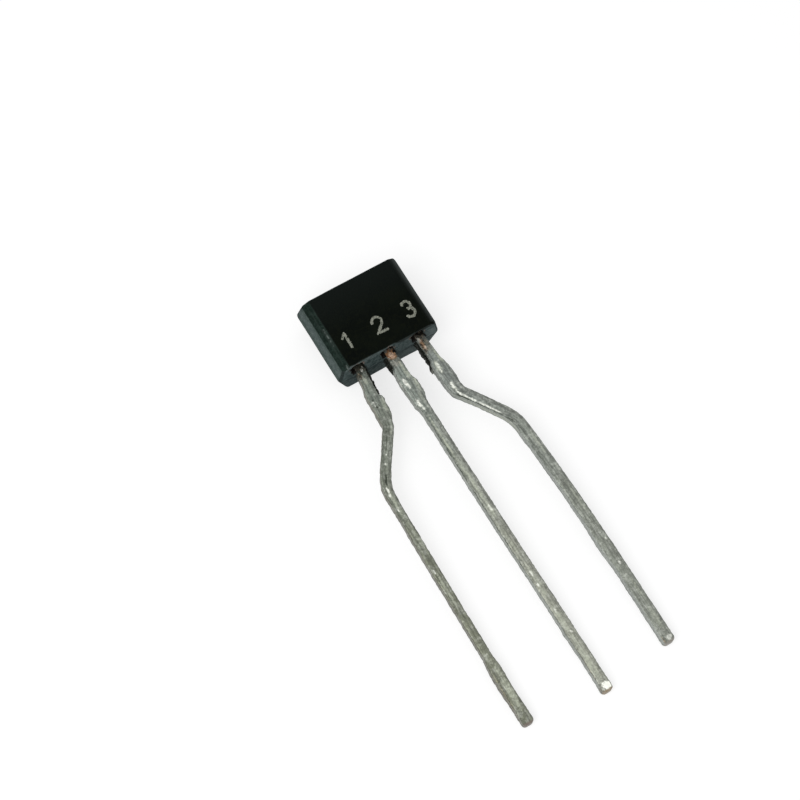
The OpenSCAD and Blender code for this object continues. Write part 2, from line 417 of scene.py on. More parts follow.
def tin_metal(look, place, grains, near, far, flank):
    """The tin's colour: one tint near the body and another far from it, with darker
    sides, painted shade beyond the lead's middle and low on the sides, and mottling."""
    base = look.coat(near, away=far)
    # Painted shade over the front's right half, where its curve turns away from the key lamp
    base = look.mix(look.math("MULTIPLY", look.mask("lee_shade"), 0.8), base, "6a6b66")
    # The sides darken towards their bottom edge, near the floor: painted shade
    depth = look.span(look.part(place, 2), LEAD_LOW, LEAD_TOP, 0.72, 1)
    base = look.coat(base, flank=look.mix(1, flank, depth, "MULTIPLY"))
    mottle = look.noise(place, 5.5, 4, 0.6)
    lighter = look.mix(0.35, base, "c2c5bd")
    base = look.mix(look.span(mottle, 0.45, 0.68), base, lighter)
    for pattern, low, high in zip(grains, (0.74, 0.82, 0.84), (1.24, 1.16, 1.16)):
        base = look.mix(1, base, look.span(pattern, 0.38, 0.62, low, high), "MULTIPLY")
    return base


def tin_marks(look, place, speck, base):
    """Adds pale streaks of painted sheen, coppery and stained places, and painted highlights to the tin's
    colour.
    """
    hair = look.noise(look.stretch(place, 1.5, 30, 30), 1.4, 2)
    torn = look.span(look.span(hair, 0.3, 0.6), 0, 1, 0.55, 1)
    ragged = look.span(speck, 0.42, 0.56)
    # Pale streaks: painted sheen along the leads' fronts and flanks
    pale = look.math("MULTIPLY", look.mask("pale"), look.span(ragged, 0, 1, 0.45, 1))
    base = look.mix(pale, base, "b4b9a8")
    base = look.coat(base, copper=look.shades(speck, 0.4, 0.6, "7d4f33", "cc996c"),
                     brown=look.shades(speck, 0.4, 0.62, "241c15", "85725a"))
    base = look.mix(look.math("MULTIPLY", look.mask("dark"), torn), base, "2e342a")
    # Painted highlights: near-white glints, pinkish over the copper
    glint = look.coat("f4f6ec", copper="f8d8bc")
    shine = look.math("MULTIPLY", look.mask("bright"), look.span(ragged, 0, 1, 0.5, 1))
    return look.mix(shine, base, glint)


def tin_look(name, near, far, flank, cut):
    """Dull mottled tin, drawn lengthwise, with a cut end of its own colour."""
    look = Look(name, Metallic=0.8, IOR=1.5)
    place = look.place("strip")
    drawn = look.noise(look.stretch(place, 0.6, 9, 9), 1.6, 4, 0.6)
    speck = look.noise(place, 13, 3, 0.6)
    grain = look.noise(place, 30, 3, 0.65)
    base = tin_metal(look, place, (drawn, speck, grain), near, far, flank)
    base = tin_marks(look, place, speck, base)
    end = look.mix(look.span(speck, 0.36, 0.6), cut, base)
    base = look.coat(base, cut=look.mix(0.35, cut, end))
    rough = look.span(grain, 0.36, 0.64, 0.34, 0.56)
    normal = look.bump(drawn, 0.012, look.bump(speck, 0.014, look.bump(grain, 0.008)))
    return look.finish(base, rough, normal)


def inner_look(name, low, high, metallic, scale):
    """A small hidden part: two shades with a fine grain."""
    look = Look(name, Metallic=metallic)
    place = look.node("ShaderNodeTexCoord").outputs["Object"]
    grain = look.noise(place, scale, 3)
    colour = look.mix(grain, low, high)
    rough = look.span(grain, 0.3, 0.7, 0.25, 0.5)
    return look.finish(colour, rough, look.bump(grain, 0.002))


# ---------------- the moulded block

BEVEL_SIDE = BODY_W / 2 - (BODY_T - BEVEL_D - PARTING_Z) * tan(FRONT_DRAFT)
BEVEL_ACROSS = BEVEL_D / hypot(BEVEL_D, BEVEL_W)
BEVEL_UP = BEVEL_W / hypot(BEVEL_D, BEVEL_W)
# The rubbed line along the left bevel, with its painted highlight, a little short of the face
RIDGE_X = BODY_SHIFT - BEVEL_SIDE + 0.72 * BEVEL_W
SEAM_LAP = 0.015
# What the rounding takes off the widest line of the sides, put back
SIDE_GAIN = 0.008
# Rounding of the face, bevels, sides, lead-exit end, top end and parting line
FRONT_RADII = (0.04, 0.045, 0.07, 0.06, 0.15, 0.025)
# The same for the back half, which has no bevels
BACK_RADII = (0.05, 0.11, 0.06, 0.14, 0.025)
# Round corners between the lead-exit end and the sides, seen from the front
CORNER_LEFT = 0.16
CORNER_RIGHT = 0.155
EJECTOR_R = 0.55
EJECTOR_D = 0.03
GATE_W = 0.9
GATE_H = 0.28
GATE_D = 0.05
BODY_CELL = 0.029


def rounded(distances, radii):
    """A field for a convex block, from its faces' own, with each face's edges rounded."""
    total = 0
    for distance, radius in zip(distances, radii):
        total = total + (np.maximum(distance + radius, 0) / radius) ** 2
    return (np.sqrt(total) - 1) * min(radii)


def leaning(across, up, draft):
    """The distance outside a face that leans inwards by a draft as it goes up."""
    return across * cos(draft) + up * sin(draft)


def plan_corner(flank, end, radius):
    """The round corner between a side and the lead-exit end."""
    return np.hypot(np.maximum(flank + radius, 0), np.maximum(end + radius, 0)) - radius


def block(p):
    """The moulded block. Its halves meet in a fine groove at the parting line."""
    wobble = 0.006 * ripple(p, 0.7, 3)
    x, y, z = np.moveaxis(p, -1, 0)
    corner = np.where(x > BODY_SHIFT, CORNER_RIGHT, CORNER_LEFT)
    x = np.abs(x - BODY_SHIFT) + wobble
    y = y + wobble
    up = z - PARTING_Z
    side = x - BODY_W / 2 - SIDE_GAIN
    bevel = (x - BEVEL_SIDE) * BEVEL_ACROSS + (z - BODY_T + BEVEL_D) * BEVEL_UP
    flank, end = leaning(side, up, FRONT_DRAFT), leaning(EXIT_Y - y, up, EXIT_DRAFT)
    top = leaning(y - TOP_Y, up, TOP_DRAFT)
    front = rounded([z - BODY_T, bevel, flank, end, top, -SEAM_LAP - up], FRONT_RADII)
    front = np.maximum(front, plan_corner(flank, end, corner))
    flank, end = leaning(side, -up, BACK_DRAFT), leaning(EXIT_Y - y, -up, EXIT_DRAFT)
    top = leaning(y - TOP_Y, -up, TOP_DRAFT)
    back = rounded([-z, flank, end, top, up - SEAM_LAP], BACK_RADII)
    back = np.maximum(back, plan_corner(flank, end, corner))
    return np.minimum(front, back)


def recess(p):
    """The recesses over the leads, which lean as they rise, with ragged rims."""
    holes = []
    x, y, z = np.moveaxis(p, -1, 0)
    up = z - LEAD_TOP
    for root in ROOTS:
        across = x - root
        left = -RECESS_LEFT - RECESS_LEAN * up - across
        right = across - RECESS_RIGHT + RECESS_LEAN * up
        top = up - RECESS_H + 1.6 * (across + 0.16) ** 2
        holes.append(np.maximum.reduce([left, right, top, -0.02 - up, y - RECESS_D]))
    return np.minimum.reduce(holes) + 0.03 * ripple(p, 0.12, 5) + 0.015 * ripple(p, 0.06, 6)


def moulding(p):
    """The block with its recesses, the ejector's mark on its back and the gate's scar."""
    x, y, z = np.moveaxis(p, -1, 0)
    solid = np.maximum(block(p), -recess(p))
    middle = np.hypot(x - BODY_SHIFT, y - BODY_H / 2)
    ejector = np.maximum(middle - EJECTOR_R, z - EJECTOR_D)
    gate = np.maximum(np.abs(x - BODY_SHIFT) - GATE_W / 2, np.abs(z - PARTING_Z) - GATE_H / 2)
    scar = np.maximum(gate, TOP_Y - GATE_D - y) + 0.025 * ripple(p, 0.1, 8)
    return np.maximum(solid, -np.minimum(ejector, scar))


# How much painted sheen lightens the lead-exit end at some places across it, all over and low down
SHEEN_ACROSS = ((-1.9, 0.3), (-0.8, 0), (-0.4, 0), (0.4, 0.22), (0.8, 0.28), (1.5, 0.5), (1.75, 1))
SHEEN_LOW = ((-1, 0.1), (-0.6, 0.3), (0.2, 0.4), (0.6, 0.5))


def dust(x, y, z, end, side):
    """How much painted sheen lightens the lead-exit end, a line under its face edge, and a band on the
    left side.
    """
    across = along_curve(x, SHEEN_ACROSS) * (1 - 0.6 * ease(1.5, 1.8, z) * (x > 1))
    low = along_curve(x, SHEEN_LOW) * ease(0.85, 0.7, z)
    below_face = 0.5 * ease(1.72, 1.84, z) * ease(0.1, -0.1, x)
    exit_end = (across + low + below_face) * end * (y < 1)
    left_side = 0.4 * side * ease(1.18, 1.3, z) * ease(1.65, 1.5, z) * (x <= 0)
    return np.clip(exit_end + left_side, 0, 1)


def recess_masks(points, face):
    """The painted shade inside the recesses, all but on the wall that faces the light, and their rims."""
    x, y, z = points.T
    way, _ = slope_of(moulding, points, 0.015)
    hole = recess(points)
    near_lead = np.min([np.abs(x - root + 0.12) for root in ROOTS], axis=0) < 0.5
    low_end = (y < RECESS_D + 0.1) * near_lead
    lit_wall = ease(0.5, 0.85, -way[:, 0]) * ease(0.1, 0.3, z - LEAD_TOP)
    # Painted shade: near-black brown over the recesses, left off the wall that the key lamp lights
    soot = (1 - ease(-0.01, 0.035, hole)) * (1 - lit_wall) * low_end
    band = ease(-0.02, 0.01, hole) * (1 - ease(0.04, 0.08, hole)) * low_end
    rim = band * ease(0.35, 0.5, z - LEAD_TOP) * ease(-0.2, 0.3, ripple(points, 0.12, 13))
    return {"soot": soot, "rim": rim * (1 - face)}


def body_masks(points):
    """Which surface each point of the body is on, its wear, and its painted sheen, highlights and shade.
    """
    way, _ = slope_of(block, points, 0.02)
    x, y, z = points.T
    right = x > 0
    spread = 0.03 * ripple(points, 0.25, 11)
    face = ease(0.9, 0.97, way[:, 2] + spread / 3)
    side = ease(0.9, 0.97, np.abs(way[:, 0]) + spread / 3)
    bevel = ease(0.2, 0.4, np.abs(way[:, 0])) * ease(0.28, 0.42, way[:, 2])
    end = ease(0.8, 0.95, np.abs(way[:, 1]))
    # The face's black runs a little over its edge on the right of the end with the leads
    over = BODY_T - 0.18 * ease(0.1, 0.5, x) + spread
    face = np.maximum(face, ease(-0.03, 0.02, z - over) * (y < 0.1) * (side < 0.5))
    # The ridge between the left bevel and the face is rubbed and carries a painted highlight, and so does
    # the face's lower left
    patchy = ease(-0.15, 0.3, ripple(points * [1, 0.3, 1], 0.12, 12))
    worn_and_highlight = patchy * (0.9 - 0.05 * y) * ~right * (z > BODY_T - BEVEL_D)
    off_edge = np.abs(z - BODY_T) + np.abs(y - EXIT_Y - tan(EXIT_DRAFT))
    rim_wear_and_highlight = 0.5 * patchy * (1 - ease(0.01, 0.05, off_edge)) * ease(-0.3, -1.0, x)
    # The right bevel is painted lighter towards its outer edge, and towards the top end: a painted sheen
    outward = ease(0, 1.1, (np.abs(x - BODY_SHIFT) - BEVEL_SIDE + BEVEL_W) / BEVEL_W)
    outward = outward * (0.75 + 0.12 * y) + 0.11 * ease(0.5, 2.5, y)
    seam = 1 - ease(0.012, 0.05, np.abs(z - PARTING_Z))
    shade = 0.5 * seam * ease(0.3, 0.8, end + 0.4 * side)
    return {
        "square": points, "face": face, "side": side, "bevel": bevel * ~right,
        "far_bevel": bevel * right, "outward": outward, "end": end, "worn_and_highlight": worn_and_highlight,
        "rim_wear_and_highlight": rim_wear_and_highlight, "shade": shade, "dusty": dust(x, y, z, end, side),
        **recess_masks(points, face),
    }


def make_body(material):
    margin = 0.1
    low = (BODY_SHIFT - BODY_W / 2 - margin, EXIT_Y - margin, -margin)
    high = (BODY_SHIFT + BODY_W / 2 + margin, TOP_Y + margin, BODY_T + margin)
    points, faces = skin(moulding, low, high, BODY_CELL)
    mesh_piece("resin_body", points, faces, body_masks(points), material, "epoxy_body")


# ---------------- marks and flash

def arc(cx, cy, radius, start, end, steps=12):
    turns = np.radians(np.linspace(start, end, steps + 1))
    return [(cx + radius * cos(t), cy + radius * sin(t)) for t in turns]


# Plain pin numbers, drawn 1 high
DIGITS = {
    "1": [[(0.06, 0.76), (0.3, 1), (0.3, 0)]],
    "2": [arc(0.3, 0.7, 0.3, 170, -40) + [(0, 0), (0.62, 0)]],
    "3": [arc(0.28, 0.745, 0.255, 150, -90), arc(0.28, 0.25, 0.28, 90, -150)],
}
DIGIT_MIDDLE = 0.3
DIGIT_H = 0.62
DIGIT_Y = 0.62
STROKE = 0.05
MARK_LIFT = 0.007
MARK_CELL = (0.013, 0.013, 0.005)


def strokes_field(lines):
    """How far a point lies outside the strokes, which stand just off the face."""
    ends = [(a, b) for line in lines for a, b in zip(line, line[1:])]

    def field(p):
        nearest = np.full(p.shape[:-1], 9.0)
        for a, b in ends:
            along = np.subtract(b, a)
            reach = p[..., :2] - a
            t = np.clip(reach @ along / (along @ along), 0, 1)
            gap = np.linalg.norm(reach - t[..., None] * along, axis=-1)
            nearest = np.minimum(nearest, gap)
        flat = p * [1, 1, 0]
        edge = nearest - STROKE + 0.014 * ripple(flat, 0.05, 21) + 0.01 * ripple(flat, 0.02, 22)
        missed = 0.05 * (ripple(flat, 0.035, 23) - 0.62)
        return np.maximum(np.maximum(edge, missed), np.abs(p[..., 2] - BODY_T) - MARK_LIFT)

    return field


def make_marks(material):
    for root, (digit, lines) in zip(ROOTS, DIGITS.items()):
        left = root - DIGIT_MIDDLE * DIGIT_H
        lines = [[(left + DIGIT_H * x, DIGIT_Y + DIGIT_H * y) for x, y in line] for line in lines]
        low = (left - 0.1, DIGIT_Y - 0.1, BODY_T - 0.0125)
        high = (left + DIGIT_H, DIGIT_Y + DIGIT_H + 0.1, BODY_T + 0.0125)
        points, faces = skin(strokes_field(lines), low, high, MARK_CELL)
        name = "pin_number_" + digit
        mesh_piece(name, points, faces, {"square": points}, material, "epoxy_body")


FLASH_CELL = 0.013


def make_flash(name, root, heading, side, profile, seed, pale_end, material):
    """Resin along one side of a neck. profile gives, at some distances from the body, how far
    it stands out, and how high and how low it reaches."""
    stops, out, top, bottom = (np.array(column) for column in zip(*profile))

    def field(p):
        """The axes are along the lead, out from its middle, and up."""
        s, a, z = np.moveaxis(p, -1, 0)
        rough = 0.022 * ripple(p, 0.09, seed) + 0.012 * ripple(p, 0.035, seed + 1)
        sheet = np.maximum(a - NECK_W / 2 - np.interp(s, stops, out), NECK_W / 2 - 0.03 - a)
        height = np.maximum(z - np.interp(s, stops, top), np.interp(s, stops, bottom) - z)
        ends = np.maximum(stops[0] - s, s - stops[-1])
        return np.maximum.reduce([sheet, height, ends]) + rough

    low = (stops[0] - 0.05, NECK_W / 2 - 0.1, bottom.min() - 0.06)
    high = (stops[-1] + 0.05, NECK_W / 2 + out.max() + 0.06, top.max() + 0.06)
    local, faces = skin(field, low, high, FLASH_CELL)
    s, a, z = local.T
    along = np.array([sin(heading), -cos(heading)])
    across = np.array([cos(heading), sin(heading)]) * side
    flat = np.array([root, 0.0]) + s[:, None] * along + a[:, None] * across
    points = np.column_stack([flat, z])
    if side > 0:
        faces = faces[:, ::-1]
    grey = ease(stops[-1] - 0.16, stops[-1] - 0.02, s) * pale_end
    mesh_piece(name, points, faces, {"square": points, "grey": grey}, material,
               "epoxy_body")


# ---------------- the leads

STATION = 0.028
ROLL_STEPS = 12
CORNER_STEPS = 5
# Steps across the front, the right side, the back and the left side
FACE_STEPS = (15, 9, 8, 9)
# Rounding of the long edges, at the front and at the back
FRONT_EDGE_R = 0.055
BACK_EDGE_R = 0.03


def lead_moves(splay, crank_start):
    """An outer lead's way to its long straight: each run's length, or a bend's radius and the
    angle that it ends at."""
    straight = crank_start / cos(splay)
    first_x = straight * sin(splay)
    first_x += FIRST_BEND_R * (cos(splay) - cos(CRANK_ANGLE))
    second_x = SECOND_BEND_R * (cos(TIP_SPLAY) - cos(CRANK_ANGLE))
    crank = (FORMED_PITCH - ROOT_PITCH - first_x - second_x) / sin(CRANK_ANGLE)
    return [("run", straight), ("bend", FIRST_BEND_R, CRANK_ANGLE), ("run", crank),
            ("bend", SECOND_BEND_R, TIP_SPLAY)]


def lead_path(root, side, splay, crank_start, length):
    """Stations down a lead's middle: x, y, heading and distance from the body. Side is -1 or 1
    for an outer lead and 0 for the middle one, which has no bends."""
    x, y, heading = [0.0], [0.0], [splay]

    def step(distance, turn):
        middle = heading[-1] + turn / 2
        x.append(x[-1] + distance * sin(middle))
        y.append(y[-1] - distance * cos(middle))
        heading.append(heading[-1] + turn)

    for move in lead_moves(splay, crank_start) if side else []:
        turn = move[2] - heading[-1] if move[0] == "bend" else 0.0
        reach = abs(turn) * move[1] if turn else move[1]
        count = ceil(reach / STATION)
        for _ in range(count):
            step(reach / count, turn / count)
    # The long straight, with its last stations closer together where the end is rounded
    reach = (length + y[-1]) / cos(heading[-1])
    roll = [TIP_ROLL * (1 - sin(t)) for t in np.linspace(0, pi / 2, ROLL_STEPS)]
    stops = list(np.arange(STATION, reach - 1.4 * TIP_ROLL, STATION)) + [reach - d for d in roll]
    done = 0.0
    for stop in stops:
        step(stop - done, 0.0)
        done = stop
    x, y, heading = (np.array(v) for v in (x, y, heading))
    along = np.concatenate([[0], np.cumsum(np.hypot(np.diff(x), np.diff(y)))])
    inner = np.arange(-(INNER_REACH if side else PAD_REACH), -STATION / 2, STATION)
    starts = (0 * inner, -inner, 0 * inner, inner)
    x, y, heading, s = (np.append(*pair) for pair in zip(starts, (x, y, heading, along)))
    outward = side or 1
    return root + outward * x, y, outward * heading, s


def cross_section(left, right, high):
    """Points round a lead at each of its stations, from the left edge of its marked side on,
    with the way out at each: two arrays of stations by points by (across, up)."""
    front, back = FRONT_EDGE_R, BACK_EDGE_R
    corners = [(front - left, high - front, front, 180), (right - front, high - front, front, 90),
               (right - back, LEAD_LOW + back, back, 0), (back - left, LEAD_LOW + back, back, -90)]
    arcs = []
    for cx, cy, radius, start in corners:
        turns = np.radians(np.linspace(start, start - 90, CORNER_STEPS + 1))
        out = np.stack([np.cos(turns), np.sin(turns)], -1)
        centre = np.stack(np.broadcast_arrays(cx, cy), -1)[:, None, :]
        arcs.append((centre + radius * out, out))
    places, ways = [], []
    for k, count in enumerate(FACE_STEPS):
        place, out = arcs[k]
        following = arcs[(k + 1) % 4][0]
        t = (np.arange(1, count) / count)[:, None]
        flat = place[:, -1:] * (1 - t) + following[:, :1] * t
        places += [place, flat]
        ways += [np.broadcast_to(out, place.shape), np.broadcast_to(out[-1], flat.shape)]
    return np.concatenate(places, 1), np.concatenate(ways, 1)


def round_off(s, radius):
    """How far the lead's rounded end lies inside a square one, at each station."""
    near = np.clip(1 - (s[-1] - s) / radius, 0, 1)
    return radius * (1 - np.sqrt(1 - near ** 2))


def lead_widths(s, shape, seed):
    """How far a lead reaches to the left and right of its middle at each station, a little
    unevenly outside the body."""
    flat = np.column_stack([s, 0 * s, 0 * s])
    outside = ease(0, 0.3, s)
    widths = []
    for edge, slow, fast, own in (("left", 0.45, 0.09, seed), ("right", 0.5, 0.08, seed + 2)):
        uneven = 0.005 * ripple(flat, slow, own) + 0.009 * ripple(flat, fast, own + 1)
        widths.append(along_curve(s, shape[edge]) + outside * uneven - round_off(s, TIP_R))
    return widths


def lay_flat(s, left, right, high, section, out):
    """A lead's skin laid flat: along it, across its front and down its sides, and its height."""
    u = np.clip(section[..., 0], -left[:, None], right[:, None])
    fall = np.where(out[..., 1] < 0.7, high[:, None] - section[..., 1], 0)
    u = u + np.where(out[..., 0] < 0, -fall, fall)
    return np.stack([np.broadcast_to(s[:, None], u.shape), u, section[..., 1]], -1)


def lead_lift(strip, section, is_front, dents, seed):
    """How far a lead's skin stands out: its unevenness, and its dents."""
    body = np.concatenate([strip[..., :1], section], -1)
    lift = 0.004 * ripple(body, 0.16, seed + 4) + 0.0025 * ripple(body, 0.06, seed + 5)
    for along, offset, size, depth in dents:
        away = np.hypot(strip[..., 0] - along, strip[..., 1] - offset) / size
        rim = np.exp(-((away - 1.25) / 0.3) ** 2)
        lift = lift + is_front * depth * (0.35 * rim - np.exp(-(away / 0.75) ** 2))
    return ease(-0.05, 0.15, strip[..., 0]) * lift


def blot(strip, spots, seed):
    """How strongly uneven spots cover the points of a strip. Each spot is its middle along and
    across, its length and width, and its strength."""
    s, u = strip[..., 0], strip[..., 1]
    warp = 0.28 * ripple(strip, 0.07, seed) + 0.18 * ripple(strip, 0.03, seed + 1)
    total = np.zeros(s.shape)
    for along, across, length, width, strength in spots:
        away = np.hypot((s - along) * 2 / length, (u - across) * 2 / width)
        total = np.maximum(total, strength * (1 - ease(0.55, 1.15, away + warp)))
    return total


def lead_masks(strip, left, right, out, shape, spots, seed):
    """What the tin's material needs to know at each point of a lead."""
    s, u = strip[..., 0], strip[..., 1]
    is_front = out[..., 1] >= -0.7
    # Dark lines run along both edges of the front, the left one broken
    line = (1 - ease(0.018, 0.06, np.abs(u + left[:, None]))) * is_front
    broken = ease(-0.4, 0.5, ripple(strip * [1, 0, 0], 0.12, seed + 6))
    line = line * along_curve(s, shape["line"]) * (0.45 + 0.55 * broken)
    far_line = (1 - ease(0.012, 0.05, np.abs(u - right[:, None]))) * is_front
    dark = np.maximum(line, blot(strip, spots["dark"], seed + 7))
    masks = {
        "dark": np.maximum(dark, 0.18 * far_line),
        "cut": ease(0.085, 0.045, s[-1, 0] - s),
        "away": np.clip(s / 9 + 0.12 * ripple(strip, 0.6, seed + 9), 0, 1),
        "flank": (np.abs(out[..., 0]) > 0.7).astype(float),
        # Painted shade right of the front's middle
        "lee_shade": along_curve(s, shape["lee_shade"]) * ease(-0.04, 0.16, u) * is_front,
    }
    for kind in ("bright", "pale", "copper", "brown"):
        masks[kind] = blot(strip, spots.get(kind, []), seed + 8) * is_front
    return {"strip": strip.reshape(-1, 3), **{key: v.ravel() for key, v in masks.items()}}


def close_end(points, faces, masks, rim, last):
    """Closes one end of a lead with smaller and smaller rings inside its rim."""
    middle = points[rim].mean(0)
    edge = rim
    for share in (0.75, 0.45, 0.15):
        inner = len(points) + np.arange(len(rim))
        points = np.vstack([points, middle + (points[rim] - middle) * share])
        for key in masks:
            masks[key] = np.concatenate([masks[key], masks[key][rim]])
        quads = np.stack([edge, np.roll(edge, -1), np.roll(inner, -1), inner], 1)
        faces += (quads if last else quads[:, ::-1]).tolist()
        edge = inner
    faces.append((edge if last else edge[::-1]).tolist())
    return points


def make_lead(name, node, shape, spots, path, material, seed):
    x, y, heading, s = path
    left, right = lead_widths(s, shape, seed)
    high = LEAD_TOP - round_off(s, TIP_ROLL)
    section, out = cross_section(left, right, high)
    strip = lay_flat(s, left, right, high, section, out)
    lift = lead_lift(strip, section, out[..., 1] >= -0.7, spots["dents"], seed)
    placed = section + lift[..., None] * out
    across = placed[..., 0] + along_curve(s, shape.get("bow", [(0, 0)]))[:, None]
    x, y, heading = (v[:, None] for v in (x, y, heading))
    flat = [x + across * np.cos(heading), y + across * np.sin(heading)]
    points = np.stack([*flat, placed[..., 1]], -1).reshape(-1, 3)
    rows, count = across.shape
    ring = np.arange(count)
    starts = np.arange(rows - 1)[:, None] * count
    first, second = (starts + ring).ravel(), (starts + (ring + 1) % count).ravel()
    faces = np.stack([first, second, second + count, first + count], 1).tolist()
    masks = lead_masks(strip, left, right, out, shape, spots, seed)
    points = close_end(points, faces, masks, ring, False)
    points = close_end(points, faces, masks, (rows - 1) * count + ring, True)
    mesh_piece(name, points, faces, masks, material, node)


HALF_NECK = NECK_W / 2


def inner_widths(head):
    """The half width of an outer lead's inner end: its head, then a stem to the body's end."""
    start = -INNER_REACH
    return [(start, head), (start + 0.55, head), (start + 0.56, HALF_NECK), (0, HALF_NECK)]


# Pairs of a distance from the body and a value: how far a lead reaches to the left and right of
# its middle, how far that bows to the right, how strong the dark line on its left edge is, and
# how much painted shade falls right of its middle
LEFT_SHAPE = {
    "left": inner_widths(0.19) + [(0.6, 0.205), (0.9, 0.27), (1.15, 0.28), (1.65, 0.237), (2.1, 0.238),
        (2.4, 0.2), (3.9, 0.212), (5.3, 0.178), (6, 0.166), (6.6, 0.188), (10.2, 0.19), (11.8, 0.178),
        (12.15, 0.225), (12.6, 0.25), (13.1, 0.242), (13.55, 0.21), (14.3, 0.19)],
    "right": inner_widths(0.41) + [(1.12, 0.19), (1.24, 0.305), (1.36, 0.325), (1.55, 0.293), (1.8, 0.313),
        (1.95, 0.3), (2.25, 0.2), (3.3, 0.2), (3.9, 0.183), (4.3, 0.205), (4.7, 0.2), (5.5, 0.155),
        (6, 0.145), (10, 0.145), (11.3, 0.165), (11.9, 0.152), (12.15, 0.2), (12.6, 0.217), (12.9, 0.19),
        (13.4, 0.207), (14.3, 0.243)],
    "line": [(1, 0.2), (2.5, 0.5), (4.5, 0.3), (12, 0.2)],
    "lee_shade": [(1, 0.2), (3, 0.5), (14, 0.3)],
}
MIDDLE_SHAPE = {
    "left": [(-PAD_REACH, 0.55), (-0.76, 0.55), (-0.75, HALF_NECK), (0.45, 0.19), (0.65, 0.25),
        (0.9, 0.275), (1.2, 0.3), (1.5, 0.29), (1.8, 0.27), (2.2, 0.262), (2.42, 0.19), (3.3, 0.178),
        (3.9, 0.197), (5.1, 0.187), (6, 0.2), (8.3, 0.207), (10.8, 0.19), (11.8, 0.195), (12.1, 0.222),
        (12.4, 0.195), (12.8, 0.2), (13.1, 0.18), (13.5, 0.195), (14.7, 0.212)],
    "right": [(-PAD_REACH, 0.55), (-0.76, 0.55), (-0.75, HALF_NECK), (0, 0.19), (0.4, 0.222),
        (1.05, 0.235), (1.2, 0.27), (1.3, 0.32), (1.88, 0.315), (2.12, 0.235), (2.4, 0.21), (3.3, 0.2),
        (9.5, 0.198), (10.5, 0.214), (13.2, 0.217), (14.7, 0.222)],
    "line": [(2.4, 0.4), (3.2, 1), (8, 0.9), (10, 0.5), (12, 0.6), (14, 0.4)],
    "lee_shade": [(0.6, 0), (1.3, 0.3), (2.2, 0.8), (9, 0.7), (11.5, 0.4), (14.7, 0.2)],
}
RIGHT_SHAPE = {
    "left": inner_widths(0.41) + [(0.9, 0.2), (1.05, 0.27), (1.25, 0.31), (2.15, 0.31), (2.4, 0.275),
        (2.62, 0.205), (3.3, 0.185), (4.2, 0.178), (4.6, 0.22), (5.1, 0.258), (5.6, 0.258), (6, 0.23),
        (6.6, 0.236), (8.1, 0.215), (8.6, 0.236), (9.1, 0.217), (9.8, 0.24), (10.3, 0.26), (10.8, 0.245),
        (11.3, 0.213), (12.8, 0.218), (13.5, 0.238), (14.4, 0.262)],
    "right": inner_widths(0.19) + [(0.95, 0.188), (1.25, 0.25), (1.4, 0.275), (1.95, 0.27), (2.12, 0.222),
        (2.4, 0.235), (3.3, 0.226), (4.3, 0.242), (4.7, 0.215), (5.1, 0.198), (6, 0.207), (6.9, 0.225),
        (12.3, 0.231), (12.9, 0.213), (14.4, 0.198)],
    "bow": [(3.6, 0), (4.6, -0.03), (5.4, -0.04), (6.6, 0), (8.6, 0.028), (10.5, 0.022), (12.5, 0)],
    "line": [(2.3, 0.3), (2.6, 1), (4.2, 1), (5, 0.6), (7.5, 0.5), (8.5, 0.2), (14, 0.2)],
    "lee_shade": [(1, 0.2), (2.2, 0.6), (4.5, 0.6), (6, 0.3), (14.4, 0.3)],
}

# Spots as blot() takes them. A dent is its place along and across, its size and its depth.
LEFT_SPOTS = {
    "brown": [(-0.15, 0, 0.5, 0.6, 0.6), (0.2, -0.12, 0.34, 0.16, 0.7), (13.4, -0.42, 2.2, 0.26, 0.35),
        (13.3, -0.2, 2, 0.06, 0.4), (14.56, -0.05, 0.12, 0.4, 0.7)],
    "pale": [(0.47, -0.05, 0.34, 0.16, 0.7), (1.55, 0.2, 0.75, 0.17, 0.5), (2.6, 0.1, 0.3, 0.08, 0.5),
        (12.4, 0.04, 0.6, 0.2, 0.5), (13.3, 0.02, 1.6, 0.26, 0.7), (5.3, -0.02, 1.1, 0.12, 0.6),
        (7, 0.04, 1.6, 0.1, 0.35), (9, -0.05, 1.8, 0.1, 0.45)],
    "bright": [(0.05, 0.03, 0.14, 0.1, 0.9), (-0.06, 0.1, 0.08, 0.07, 0.6), (1.36, -0.15, 0.07, 0.05, 0.8),
        (1.5, -0.14, 0.08, 0.05, 0.9), (1.6, -0.02, 0.07, 0.04, 0.6), (3.5, -0.04, 0.1, 0.06, 0.9),
        (3.86, -0.04, 0.1, 0.06, 0.7), (4.85, -0.03, 0.24, 0.1, 0.85), (5.05, -0.04, 0.18, 0.1, 0.75),
        (5.68, -0.06, 0.14, 0.08, 0.8), (8.28, -0.09, 0.2, 0.08, 0.8)],
    "dark": [(1.27, -0.12, 0.09, 0.09, 0.9), (1.55, -0.08, 0.1, 0.09, 1), (2.6, -0.06, 0.1, 0.06, 0.6),
        (4.45, 0, 0.55, 0.1, 0.9), (3.1, -0.05, 1.1, 0.045, 0.6), (4.1, -0.05, 0.7, 0.045, 0.5),
        (10, -0.02, 0.5, 0.1, 0.3), (-0.05, 0, 0.5, 0.5, 0.75), (0.14, -0.06, 0.2, 0.16, 0.8),
        (3.2, -0.42, 1.2, 0.3, 0.25)],
    "dents": [(1.27, -0.12, 0.05, 0.025), (1.55, -0.08, 0.05, 0.028), (2.6, -0.06, 0.04, 0.015),
        (4.5, 0, 0.12, 0.012), (8.35, -0.07, 0.1, 0.008)],
}
